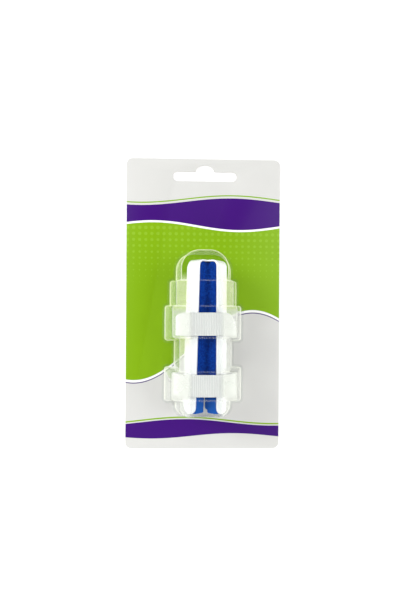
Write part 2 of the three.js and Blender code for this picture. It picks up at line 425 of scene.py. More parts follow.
def open_cell_foam(settings):
    """Blue open-cell foam, with dark pores on its cut faces."""
    finish = Finish("open_cell_foam")
    millimetres = finish.millimetres()
    wander = finish.noise(millimetres, 1.3, 3)
    pores = finish.cells(millimetres, 2.6)
    small_pores = finish.cells(millimetres, 5.5)
    hollow = finish.times(
        finish.between(pores, 0.1, 0.5), finish.between(small_pores, 0.0, 0.45)
    )
    tone = finish.mix(finish.between(wander, 0.36, 0.64), settings.foam_shade, settings.foam)
    tone = finish.mix(finish.between(hollow, 0.15, 0.7), settings.foam_pores_and_valley_shade, tone)
    # Painted shade: the valleys between the arms are painted darker towards the hollow in the middle
    axis = (-settings.middle_x / MM, 0, -settings.height / MM)
    from_axis = finish.vector_math(
        "LENGTH", finish.vector_math("MULTIPLY_ADD", millimetres, (1, 0, 1), axis)
    )
    unshaded_part = finish.between(from_axis, VALLEY_SHADE_FROM, VALLEY_SHADE_TO)
    tone = finish.mix(unshaded_part, settings.foam_pores_and_valley_shade, tone)
    # Painted light: near the open end, where more light gets in, the foam is painted paler
    along = finish.axes(millimetres)[1]
    tone = finish.mix(finish.between(along, LIT_END_FROM, LIT_END_TO), tone, settings.foam_end_lit)
    height = finish.math("MULTIPLY_ADD", wander, 0.4, hollow)
    return finish.coat(
        Base_Color=tone,
        Roughness=0.95,
        Specular_IOR_Level=0.03,
        Normal=finish.bump(height, 0.14 * MM, 0.9),
    )


def ribbed_elastic(settings):
    """White elastic: cross threads over the modelled ribs, with a soft nap."""
    finish = Finish("ribbed_elastic")
    phase = finish.add("ShaderNodeAttribute", attribute_name="rib")
    rib = phase.outputs["Fac"]
    millimetres = finish.millimetres()
    along = finish.axes(millimetres)[1]
    thread_turn = finish.times(along, 2 * math.pi / settings.thread_pitch * MM)
    # Every other rib carries its threads half a pitch on
    other = finish.times(finish.math("MODULO", finish.math("FLOOR", rib), 2.0), math.pi)
    thread = finish.math("SINE", finish.math("ADD", thread_turn, other))
    thread = finish.math("MULTIPLY_ADD", thread, 0.5, 0.5)
    rib_turn = finish.times(rib, 2 * math.pi)
    crest = finish.math("MULTIPLY_ADD", finish.math("COSINE", rib_turn), -0.5, 0.5)
    nap = finish.noise(millimetres, 7.0, 4, 0.7)
    cloud = finish.noise(millimetres, 0.35, 3)
    # Painted shade: the colour is darker in the grooves between the ribs and, a little, between the cross
    # threads
    depth = finish.math("MULTIPLY_ADD", thread, 0.3, finish.times(crest, 0.7))
    tone = finish.mix(depth, settings.elastic_mottle_and_groove_shade, settings.elastic)
    tone = finish.mix(finish.scaled(cloud, 0.0, 0.25), tone, settings.elastic_mottle_and_groove_shade)
    height = finish.math("MULTIPLY_ADD", nap, 0.35, finish.times(thread, 0.6))
    return finish.coat(
        Base_Color=tone,
        Roughness=0.88,
        Specular_IOR_Level=0.25,
        Sheen_Weight=0.35,
        Sheen_Roughness=0.45,
        Normal=finish.bump(height, 0.05 * MM, 0.8),
    )


# Where the clear sheet's veil changes: heights over the surface and places along the card, in millimetres
BEND_HEIGHT = (19.0, 21.0)
LOW_WALL = (14.0, 10.0)
RIM_HEIGHT = (2.2, 1.5)
BEND_END = (20.0, 15.0)
MARGIN_REFLECTION_END = (14.0, 8.0)
SPLINT_END = (21.0, 20.0)
FIELD_EDGE = (-20.0, -12.0)
BAND_LOW_END = (-17.0, -15.5)
BAND_HIGH_END = (-2.5, -5.0)
# How much further along the card the green field's edge lies for each millimetre across it, turned round
FIELD_SLOPE = -0.77
# How far up a surface looks where it starts to count as steep, and where it fully does
STEEP = (0.97, 0.6)
# What is left of the veil over the splint and for shadows, and how much of it is lit from behind
VEIL_ON_SPLINT = 0.06
VEIL_IN_SHADOW = 0.15
LIT_THROUGH = 0.15


def clear_sheet(settings, name, veils, painted_bend_tone):
    """Clear sheet: see-through and glossy, with a white veil that differs from part to part.

    The veils are for the front's middle, the front's margins beside the splint, the steep parts, their lower
    half, the steep parts just below the front, and the parts close to the card.
    """
    middle_veil, margin_veil, steep_veil, low_veil, bend_veil, foot_veil = veils
    finish = Finish(name)
    millimetres = finish.millimetres()
    across, along, height = finish.axes(millimetres)
    ripple = finish.noise(millimetres, 0.16, 2)
    scuff = finish.noise(millimetres, 2.2, 4, 0.65)

    see_through = finish.add("ShaderNodeBsdfTransparent", {"Color": (0.985, 0.99, 0.99, 1.0)})
    gloss_inputs = {
        "Color": (1, 1, 1, 1),
        "Roughness": finish.scaled(scuff, 0.06, 0.14),
        "Normal": finish.bump(ripple, 0.22 * MM, 0.35),
    }
    gloss = finish.add("ShaderNodeBsdfGlossy", gloss_inputs)
    facing = finish.add("ShaderNodeLayerWeight", {"Blend": 0.5}).outputs["Facing"]
    share = finish.math("MULTIPLY_ADD", finish.math("POWER", facing, 4), 0.8, 0.015)
    film = finish.blend(share, see_through.outputs[0], gloss.outputs[0])

    # Painted dark refraction: the walls are painted darkest just below the front, where they bend away from
    # the eye
    steep = finish.between(finish.facing_up(), *STEEP)
    bend = finish.times(steep, finish.between(height, *BEND_HEIGHT))
    bend = finish.times(bend, finish.between(along, *BEND_END))
    tone = finish.mix(ripple, settings.clear, settings.clear_shade)
    # Painted light: over the print's green field, which ends along a slope, the veil is painted green as if
    # the print lit it from behind, though not on the front over the white upper band
    sloping = finish.math("MULTIPLY_ADD", across, FIELD_SLOPE, along)
    painted_green_light = finish.between(sloping, *FIELD_EDGE)
    over_band = finish.times(
        finish.between(along, *BAND_LOW_END), finish.between(along, *BAND_HIGH_END)
    )
    over_band = finish.times(over_band, finish.remainder(steep))
    painted_green_light = finish.times(painted_green_light, finish.remainder(over_band))
    tone = finish.mix(painted_green_light, tone, settings.clear_green)
    white = finish.principled(
        Base_Color=finish.mix(bend, tone, painted_bend_tone),
        Roughness=0.4,
        Specular_IOR_Level=0.2,
    )
    through = finish.add("ShaderNodeBsdfTranslucent", {"Color": (*settings.clear, 1.0)})
    haze = finish.blend(LIT_THROUGH, white, through.outputs[0])

    # Painted reflection: beside the splint, low down, the front is made milky, standing in for the lamps'
    # reflection there
    from_middle = finish.math("ABSOLUTE", finish.less(across, settings.splint_x / MM))
    beside = finish.between(from_middle, settings.margin_from / MM, settings.margin_to / MM)
    low_down = finish.between(along, *MARGIN_REFLECTION_END)
    veil = finish.scaled(finish.times(beside, low_down), middle_veil, margin_veil)
    wall_veil = finish.scaled(finish.between(height, *LOW_WALL), steep_veil, low_veil)
    veil = finish.add_share(veil, steep, wall_veil)
    veil = finish.add_share(veil, bend, bend_veil)
    veil = finish.add_share(veil, finish.between(height, *RIM_HEIGHT), foot_veil)
    veil = finish.times(veil, finish.scaled(ripple, 0.8, 1.2))
    # Over the splint itself the sheet's steps hardly show
    over_splint = finish.times(finish.remainder(beside), finish.between(along, *SPLINT_END))
    veil = finish.times(veil, finish.scaled(over_splint, 1.0, VEIL_ON_SPLINT))
    # The veil is light caught in the sheet, so it takes hardly any from what lies behind it
    in_shadow = finish.add("ShaderNodeLightPath").outputs["Is Shadow Ray"]
    veil = finish.times(veil, finish.scaled(in_shadow, 1.0, VEIL_IN_SHADOW))
    return finish.finish(finish.blend(veil, film, haze))


def pale_floor(settings):
    finish = Finish("pale_floor")
    speckle = finish.scaled(finish.noise(finish.place(), 40, 3), 0.0, 0.3)
    return finish.coat(
        Base_Color=finish.mix(speckle, settings.floor, settings.floor_shade),
        Roughness=0.75,
        Specular_IOR_Level=0.2,
    )


# Sizes and colours


def number(name, default, description, **kind):
    return FloatProperty(name=name, description=description, default=default, **kind)


def size(name, default, description):
    """A length in metres."""
    return number(name, default, description, min=0, unit="LENGTH", precision=5)


def place_along(name, default, description):
    """A place along the pack, which may be below its middle."""
    return number(name, default, description, unit="LENGTH", precision=5)


def angle(name, degrees, description):
    return number(name, math.radians(degrees), description, subtype="ANGLE")


def tone(name, default, description):
    return FloatVectorProperty(
        name=name, description=description, default=default, subtype="COLOR", size=3, min=0, max=1
    )


def veil(name, default, description):
    """How much of the light a clear part's white veil takes, from none to all of it."""
    return number(name, default, description, min=0, max=1, subtype="FACTOR")


def power(name, default, description):
    """A light's power in watts."""
    return number(name, default, description, min=0, unit="POWER")


class CardSettings(PropertyGroup):
    width: size("Width", CARD_HIGH.x - CARD_LOW.x, "Width of the card")
    length: size("Length", CARD_HIGH.y - CARD_LOW.y, "Length of the card")
    thickness: size("Thickness", CARD_HIGH.z - CARD_LOW.z, "Thickness of the board")
    corner_radius: size("Corner Radius", 3 * MM, "Radius of the card's corners")
    edge_radius: size("Edge Radius", 0.08 * MM, "Rounding of the board's cut edges")
    slot_length: size("Slot Length", 31.75 * MM, "Length of the hang hole")
    slot_height: size("Slot Height", 4.7 * MM, "Height of the hang hole's slot")
    slot_from_top: size("Slot From Top", 8.7 * MM, "From the card's top edge to the middle of the slot")
    slot_offset: size("Slot Offset", 0.6 * MM, "How far the hang hole is to the right of the card's middle")
    hump_width: size("Hump Width", 9.1 * MM, "Width of the round hump over the slot")
    hump_rise: size("Hump Rise", 3.3 * MM, "Height of the hump over the slot")
    paper: tone("Paper", (0.64, 0.64, 0.617), "Pale ground of the print")
    paper_shade: tone("Paper Shade", (0.595, 0.593, 0.573), "Slightly darker parts of the ground")
    field: tone("Field", (0.213, 0.402, 0.005), "Green field")
    field_shade: tone("Field Shade", (0.197, 0.375, 0.004), "Slightly darker parts of the green")
    dot: tone("Dot", (0.32, 0.55, 0.05), "Dots in the green field")
    band: tone("Band", (0.05, 0.0035, 0.17), "Violet bands")
    band_shade: tone("Band Shade", (0.04, 0.004, 0.15), "Slightly darker violet")
    line: tone("Line", (0.9, 0.9, 0.9), "White lines")
    board: tone("Board", (0.72, 0.71, 0.68), "Bare board at the cut edges and the back")
    board_shade: tone("Board Shade", (0.6, 0.59, 0.56), "Fibres in the bare board")


class SplintSettings(PropertyGroup):
    length: size("Length", 70.9 * MM, "From the arms' ends to the fingertip")
    arm_width: size("Arm Width", 6.9 * MM, "Width of each arm")
    arm_end_radius: size("Arm End Radius", 3.2 * MM, "Rounding of the arms' free ends")
    tip_width: size("Tip Width", 18.8 * MM, "Across two opposite arms at the fold")
    base_width: size("Base Width", 21.4 * MM, "Across two opposite arms at their ends")
    fold_radius: size("Fold Radius", 3.2 * MM, "Outer radius of the fold at the fingertip")
    metal_thickness: size("Metal Thickness", 0.8 * MM, "Thickness of the aluminium")
    foam_thickness: size("Foam Thickness", 4.95 * MM, "Thickness of the foam")
    glue_gap: size("Glue Gap", 0.05 * MM, "Between the aluminium and the foam")
    closed_gap: size(
        "Closed Gap", 0.08 * MM, "How far apart the arms' foam is where it meets, from each arm's corner"
    )
    valley_dip: size("Valley Dip", 0.4 * MM, "How much lower the foam is at the tip where two arms meet")
    foam_parting: place_along(
        "Foam Parting", -33 * MM, "Where the arms' foam starts to part, along the card"
    )
    mouth_gap: size(
        "Mouth Gap", 0.85 * MM, "How far apart the arms' foam is at the open end, from each arm's corner"
    )
    foam_end_radius: size("Foam End Radius", 0.8 * MM, "Rounding of the foam's free ends")
    middle_x: place_along("Middle X", 0.8 * MM, "The splint's middle across the card")
    tip_y: place_along("Tip Y", 19.5 * MM, "The fingertip end along the card")
    height: size("Height", 12.64 * MM, "The splint's middle line over the surface")
    roll: angle("Roll", 2.7, "How far the splint is rolled off standing on its corners")
    lean: angle("Lean", 0.65, "How far the splint leans across the card")
    metal: tone("Metal", (0.96, 0.965, 0.97), "Bright aluminium")
    metal_shade: tone("Metal Shade", (0.86, 0.87, 0.88), "Streaks in the aluminium")
    foam: tone("Foam", (0.005, 0.07, 0.44), "Blue foam")
    foam_shade: tone("Foam Shade", (0.002, 0.034, 0.26), "Darker parts of the foam")
    # Painted light: the foam's colour near the open end, paler where more light gets in
    foam_end_lit: tone("Foam End", (0.018, 0.115, 0.46), "Foam near the open end")
    # Foam Pores is also the painted shade in the valleys between the arms
    foam_pores_and_valley_shade: tone("Foam Pores", (0.001, 0.014, 0.12), "Inside the foam's pores")


class BandSettings(PropertyGroup):
    thickness: size("Thickness", 1.2 * MM, "Thickness of the elastic")
    loop_width: size("Loop Width", 28.4 * MM, "Width of the loop")
    loop_height: size("Loop Height", 23.48 * MM, "Height of the loop")
    flat_width: size("Flat Width", 11 * MM, "Width of the loop's flat front and back")
    middle_x: place_along("Middle X", 0.9 * MM, "The loops' middle across the card")
    middle_z: size("Middle Z", 12.64 * MM, "The loops' middle over the surface")
    upper_low: place_along("Upper Band Low Edge", UPPER_LOW.y, "Low edge of the upper band")
    upper_width: size("Upper Band Width", UPPER_HIGH.y - UPPER_LOW.y, "Width of the upper band")
    lower_low: place_along("Lower Band Low Edge", LOWER_LOW.y, "Low edge of the lower band")
    lower_width: size("Lower Band Width", LOWER_HIGH.y - LOWER_LOW.y, "Width of the lower band")
    lower_spread: size(
        "Lower Band Spread", 0.8 * MM, "How much further the lower band's left end stands out"
    )
    left_reach: size("Left Droop Reach", 5 * MM, "Over what width the upper band droops on the left")
    left_drop: size("Left Droop", 2.1 * MM, "How far the upper band's top edge droops on the left")
    right_reach: size("Right Droop Reach", 6 * MM, "Over what width the upper band droops on the right")
    right_drop: size("Right Droop", 7.6 * MM, "How far the upper band's top edge droops on the right")
    rib_pitch: size("Rib Pitch", 0.75 * MM, "From one rib to the next")
    rib_depth: size("Rib Depth", 0.2 * MM, "Height of the ribs over the grooves")
    thread_pitch: size("Thread Pitch", 0.42 * MM, "From one cross thread to the next")
    rows: IntProperty(
        name="Rows", description="Rows of faces across a band", default=10, min=4, max=40
    )
    elastic: tone("Elastic", (0.835, 0.845, 0.82), "White elastic")
    # Elastic Shade is the painted shade in the grooves, and also the colour of the random mottle
    elastic_mottle_and_groove_shade: tone("Elastic Shade", (0.6, 0.61, 0.59), "Grooves in the elastic")


class BlisterSettings(PropertyGroup):
    sheet: size("Sheet", 0.4 * MM, "Thickness of the clear sheet")
    flange_width: size("Flange Width", 1.5 * MM, "Width of the rim that is sealed to the card")
    flange_top: size("Flange Top", BLISTER_LOW.z + 0.4 * MM, "Height of the rim's front face")
    head_radius: size("Head Radius", 8.5 * MM, "Corner radius at the fingertip end")
    foot_radius: size("Foot Radius", 4 * MM, "Corner radius at the open end")
    jog_radius: size("Jog Radius", 1.1 * MM, "Corner radius where the bays step out")
    valley_radius: size("Valley Radius", 0.4 * MM, "Rounding of the lines where bays meet, and of the foot")
    fold_radius: size("Fold Radius", 0.38 * MM, "Rounding of the front's edges and steps")
    clear: tone("Clear", (0.99, 1.0, 0.92), "Veil of the clear sheet")
    clear_shade: tone("Clear Shade", (0.95, 0.97, 0.88), "Uneven parts of the veil")
    clear_green: tone(
        "Clear Green", (0.95, 1.0, 0.64), "Veil where the green field lights the sheet from behind"
    )
    # Painted dark refraction in the walls just below the front
    bend: tone("Bend", (0.3, 0.36, 0.27), "Dark line in the walls just below the front")
    splint_x: place_along("Splint X", 0.8 * MM, "The splint's middle across the card")
    # Painted reflection: the front's milky margin beside the splint stands in for the lamps' reflection
    margin_from: size(
        "Margin From", 5.5 * MM, "How far from the splint's middle the front starts to turn milky"
    )
    margin_to: size("Margin To", 8.5 * MM, "How far from the splint's middle the front is fully milky")
    front_veil: veil("Front Veil", 0.0012, "Veil of the front's middle")
    margin_veil: veil("Margin Veil", 0.26, "Veil of the front beside the splint")
    wall_veil: veil("Wall Veil", 0.11, "Veil of the walls and steps")
    low_wall_veil: veil("Low Wall Veil", 0.19, "Veil of the walls' lower half")
    bend_veil: veil("Bend Veil", 0.2, "Veil of the walls just below the front")
    flange_veil: veil("Flange Veil", 0.03, "Veil of the rim on the card")
    fold_veil: veil("Fold Veil", 0.38, "Veil of the front's folds")
    foot_fold_veil: veil("Foot Fold Veil", 0.45, "Veil of the folds between the walls and the rim")


class StageSettings(PropertyGroup):
    floor_size: size("Floor Size", 2.4, "Width of the floor")
    camera_x: place_along("Camera X", -9.4 * MM, "Camera's place across the card")
    camera_y: place_along("Camera Y", -11.6 * MM, "Camera's place along the card")
    camera_z: size("Camera Z", 255 * MM, "Camera's height over the surface")
    aim_x: place_along("Aim X", -1.17 * MM, "Where the camera looks, across the card")
    shift: number(
        "Shift", 0.0441, "How far the view is moved along the card, as a share of the picture's height"
    )
    roll: angle("Roll", 0.34, "How far the camera is rolled")
    lens: number("Lens", 30.73, "Focal length in millimetres", min=1)
    key_power: power("Key Power", 6.2, "Power of the key light")
    fill_power: power("Fill Power", 5.0, "Power of the fill light")
    low_power: power("Low Power", 1.7, "Power of the low light")
    sky: number("Sky", 0.96, "Brightness of the white surroundings", min=0)
    overhead: number("Overhead", 0.08, "Brightness straight overhead", min=0)
    floor: tone("Floor", (0.98, 0.98, 0.98), "Pale floor")
    floor_shade: tone("Floor Shade", (0.96, 0.96, 0.96), "Faint unevenness of the floor")


# Card


class PACK_OT_card(Operator):
    """Model the printed hanging card with its hang hole"""

    bl_idname = "splint_pack.card"
    bl_label = "Card"

    def execute(self, context):
        settings = context.scene.card_settings
        sides = (settings.width, settings.length, settings.thickness)
        centre = (0, 0, settings.thickness / 2)
        card = self.rounded_block("card_board", sides, centre, settings.corner_radius, 14)
        self.cut_hang_hole(card, settings)
        round_edges(card, settings.edge_radius, 2, 60)
        smooth(card)
        card.data.materials.append(printed_card(settings))
        hand_over(card, "card")
        return {"FINISHED"}

    def rounded_block(self, name, sides, place, radius, segments):
        """A block with its upright edges rounded."""
        piece = block(name, sides, place)
        edit(piece)
        pick(piece, "EDGE", upright)
        bpy.ops.mesh.bevel(offset=radius, segments=segments)
        leave_edit_mode()
        return piece

    def cut_hang_hole(self, card, settings):
        """A slot with round ends, and a round hump over its middle."""
        middle_y = settings.length / 2 - settings.slot_from_top
        sides = (settings.slot_length, settings.slot_height, settings.thickness * 6)
        # A little less than half the height leaves the slot's ends a narrow flat, so that no edges meet
        radius = settings.slot_height / 2 * 0.995
        slot = self.rounded_block("slot_cutter", sides, (settings.slot_offset, middle_y, 0), radius, 12)
        hump = self.hump_block(settings, middle_y)
        apply_modifier(slot, "BOOLEAN", operation="UNION", object=hump, solver="EXACT")
        apply_modifier(card, "BOOLEAN", operation="DIFFERENCE", object=slot, solver="EXACT")
        for cutter in (slot, hump):
            bpy.data.objects.remove(cutter)

    def hump_block(self, settings, middle_y):
        clear_selection()
        slot_top = middle_y + settings.slot_height / 2
        bpy.ops.mesh.primitive_cylinder_add(
            vertices=48,
            radius=1,
            depth=settings.thickness * 5,
            location=(settings.slot_offset, slot_top - 0.02 * MM, 0),
        )
        hump = named_piece("hump_cutter")
        hump.scale = (settings.hump_width / 2, settings.hump_rise, 1)
        settle(hump)
        edit(hump)
        # The lower half would cut below the slot
        bpy.ops.mesh.select_all(action="SELECT")
        bpy.ops.mesh.bisect(
            plane_co=(0, middle_y, 0), plane_no=(0, 1, 0), use_fill=True, clear_inner=True
        )
        leave_edit_mode()
        return hump


# Splint


class SplintShape:
    """The splint's own frame: Y from the open end to the fingertip about its middle, arms across X and Z."""

    def __init__(self, settings):
        self.settings = settings
        run = settings.length - settings.fold_radius
        self.splay = math.atan((settings.base_width - settings.tip_width) / 2 / run)
        self.tip = settings.length / 2
        self.base = -settings.length / 2

    def lay_in_pack(self, piece):
        """Turn the piece as the splint lies in the pack, and put its place in its mesh."""
        settings = self.settings
        turn = Matrix.Rotation(-settings.lean, 4, "Z")
        turn = turn @ Matrix.Rotation(-(math.pi / 4 - settings.roll), 4, "Y")
        place = Vector((settings.middle_x, settings.tip_y - settings.length / 2, settings.height))
        piece.matrix_world = Matrix.Translation(place) @ turn
        settle(piece)


METAL_EDGE_RADIUS = 0.16 * MM
FOAM_FACE_SIZE = 0.42 * MM
FOAM_UNEVENNESS = 0.07 * MM

# The way each of the four arms stands off the splint's own line
ARM_DIRECTIONS = (Vector((1, 0, 0)), Vector((0, 0, 1)), Vector((-1, 0, 0)), Vector((0, 0, -1)))


def on_arm(point, direction):
    """Is this point in the middle of the arm's width?"""
    return abs(point.dot(direction.cross(ALONG))) < 0.2 * MM


class PACK_OT_splint_sheet(Operator):
    """Model the cross of aluminium sheet, folded into four arms"""

    bl_idname = "splint_pack.splint_sheet"
    bl_label = "Splint Sheet"

    def execute(self, context):
        settings = context.scene.splint_settings
        shape = SplintShape(settings)
        clear_selection()
        bpy.ops.mesh.primitive_plane_add(
            size=settings.arm_width, location=(0, shape.tip, 0), rotation=(-math.pi / 2, 0, 0)
        )
        sheet = named_piece("splint_metal")
        settle(sheet)
        edit(sheet)
        for direction in ARM_DIRECTIONS:
            self.arm(sheet, settings, shape, direction)
        self.round_ends(sheet, settings, shape)
        turn_outwards(sheet, lambda face: middle(face).y, ALONG, weld=0.002 * MM)
        apply_modifier(
            sheet, "SOLIDIFY", thickness=settings.metal_thickness, offset=-1, use_even_offset=True
        )
        round_edges(sheet, METAL_EDGE_RADIUS, 3, 50)
        shape.lay_in_pack(sheet)
        smooth(sheet, 40)
        sheet.data.materials.append(satin_aluminium(settings))
        hand_over(sheet, "splint_sheet")
        return {"FINISHED"}

    def arm(self, sheet, settings, shape, direction):
        """Draw one side of the square out flat, fold it over and run it down to the open end."""
        half = settings.arm_width / 2
        pick(sheet, "EDGE", lambda edge: near(middle(edge).dot(direction), half)
             and near(middle(edge).y, shape.tip) and on_arm(middle(edge), direction))
        reach = settings.tip_width / 2 - settings.fold_radius
        extrude_by(direction * (reach - half))
        centre = direction * reach + Vector((0, shape.tip - settings.fold_radius, 0))
        axis = direction.cross(ALONG)
        bpy.ops.mesh.spin(
            steps=10, angle=math.pi / 2 - shape.splay, center=centre, axis=axis, use_auto_merge=False
        )
        end = min(
            (edge for edge in items_of(sheet, "EDGE") if edge.select), key=lambda edge: middle(edge).y
        )
        start_y = middle(end).y
        pick(sheet, "EDGE", lambda edge: near(middle(edge).y, start_y)
             and middle(edge).dot(direction) > half and on_arm(middle(edge), direction))
        run = start_y - shape.base
        for _ in range(3):
            extrude_by(direction * (math.tan(shape.splay) * run / 3) + Vector((0, -run / 3, 0)))

    def round_ends(self, sheet, settings, shape):
        pick(sheet, "VERT", lambda vertex: near(vertex.co.y, shape.base))
        bpy.ops.mesh.bevel(offset=settings.arm_end_radius, segments=10, affect="VERTICES")


class PACK_OT_foam_lining(Operator):
    """Model the foam glued inside the aluminium, cut with it"""

    bl_idname = "splint_pack.foam_lining"
    bl_label = "Foam Lining"

    def execute(self, context):
        settings = context.scene.splint_settings
        shape = SplintShape(settings)
        depth = settings.metal_thickness + settings.glue_gap
        outer_top = shape.tip - depth
        inner_top = outer_top - settings.foam_thickness
        sides = (settings.arm_width, settings.foam_thickness, settings.arm_width)
        foam = block("foam_pad", sides, (0, (outer_top + inner_top) / 2, 0))
        edit(foam)
        for direction in ARM_DIRECTIONS:
            self.arm(foam, settings, shape, direction, depth)
        self.round_fold(foam, settings, shape, depth)
        self.sink_valleys(foam, settings, shape, depth)
        self.round_ends(foam, settings, shape)
        self.soften(foam)
        shape.lay_in_pack(foam)
        smooth(foam, 60)
        foam.data.materials.append(open_cell_foam(settings))
        hand_over(foam, "foam_lining")
        return {"FINISHED"}

    def arm(self, foam, settings, shape, direction, depth):
        """Draw one side of the cap block out, and its underside down to the open end."""
        half = settings.arm_width / 2
        outer = settings.tip_width / 2 - depth
        inner = outer - settings.foam_thickness
        pick(foam, "FACE", lambda face: face.normal.dot(direction) > 0.9 and on_arm(middle(face), direction)
             and near(middle(face).dot(direction), half))
        extrude_by(direction * (inner - half))
        extrude_by(direction * (outer - inner))
        middle_reach = (outer + inner) / 2
        pick(foam, "FACE", lambda face: face.normal.y < -0.9
             and near(middle(face).dot(direction), middle_reach, 0.2 * MM)
             and on_arm(middle(face), direction))
        low = min(middle(face).y for face in items_of(foam, "FACE") if face.select)
        parting = settings.foam_parting - (settings.tip_y - settings.length / 2)
        for start, end, reach in (
            (low, parting, half + settings.closed_gap),
            (parting, shape.base, half + settings.mouth_gap),
        ):
            run = start - end
            extrude_by(direction * (math.tan(shape.splay) * run) + Vector((0, -run, 0)))
            self.swell(foam, direction, end, reach)

    def swell(self, foam, direction, end, reach):
        """At this place along the arm the foam is thick enough to reach in close to its neighbours."""

        def at_end(item):
            place = middle(item)
            return near(place.y, end) and on_arm(place, direction) and place.dot(direction) > 0

        inner = min(middle(edge).dot(direction) for edge in items_of(foam, "EDGE") if at_end(edge))
        pick(foam, "EDGE", lambda edge: at_end(edge) and near(middle(edge).dot(direction), inner))
        bpy.ops.transform.translate(value=direction * (reach - inner))
        pick(foam, "FACE", lambda face: at_end(face) and face.normal.y < -0.9)

    def round_fold(self, foam, settings, shape, depth):
        """The foam's outer corner follows the fold of the sheet."""
        outer_top = shape.tip - depth
        outer = settings.tip_width / 2 - depth
        pick(foam, "EDGE", lambda edge: near(middle(edge).y, outer_top)
             and near(max(abs(middle(edge).x), abs(middle(edge).z)), outer, 0.05 * MM))
        bpy.ops.mesh.bevel(offset=settings.fold_radius - depth, segments=6)

    def sink_valleys(self, foam, settings, shape, depth):
        """Under the cap the foam is lower where two arms meet."""
        half = settings.arm_width / 2
        pick(foam, "VERT", lambda vertex: near(vertex.co.y, shape.tip - depth)
             and near(abs(vertex.co.x), half, 0.2 * MM) and near(abs(vertex.co.z), half, 0.2 * MM))
        bpy.ops.transform.translate(value=(0, -settings.valley_dip, 0))

    def round_ends(self, foam, settings, shape):
        half = settings.arm_width / 2
        pick(foam, "EDGE", lambda edge: near(middle(edge).y, shape.base)
             and near(min(abs(middle(edge).x), abs(middle(edge).z)), half, 0.05 * MM)
             and edge.calc_length() > 4 * MM)
        bpy.ops.mesh.bevel(offset=settings.foam_end_radius, segments=6)

    def soften(self, foam):
        """Fine faces with a slightly uneven, rounded cut."""
        apply_modifier(foam, "REMESH", mode="VOXEL", voxel_size=FOAM_FACE_SIZE, adaptivity=0)
        edit(foam)
        bpy.ops.mesh.select_all(action="SELECT")
        bpy.ops.mesh.vertices_smooth(factor=0.5, repeat=2)
        bpy.ops.transform.vertex_random(offset=FOAM_UNEVENNESS, uniform=1.0, normal=0.6, seed=11)
        bpy.ops.mesh.vertices_smooth(factor=0.35, repeat=1)
        leave_edit_mode()


# Bands

RIM_RADIUS = 0.3 * MM
DROOP_STEPS = 14
# Below one, the droop's strips are narrower towards the loop's end, where the edge falls fastest
DROOP_SPACING = 0.6


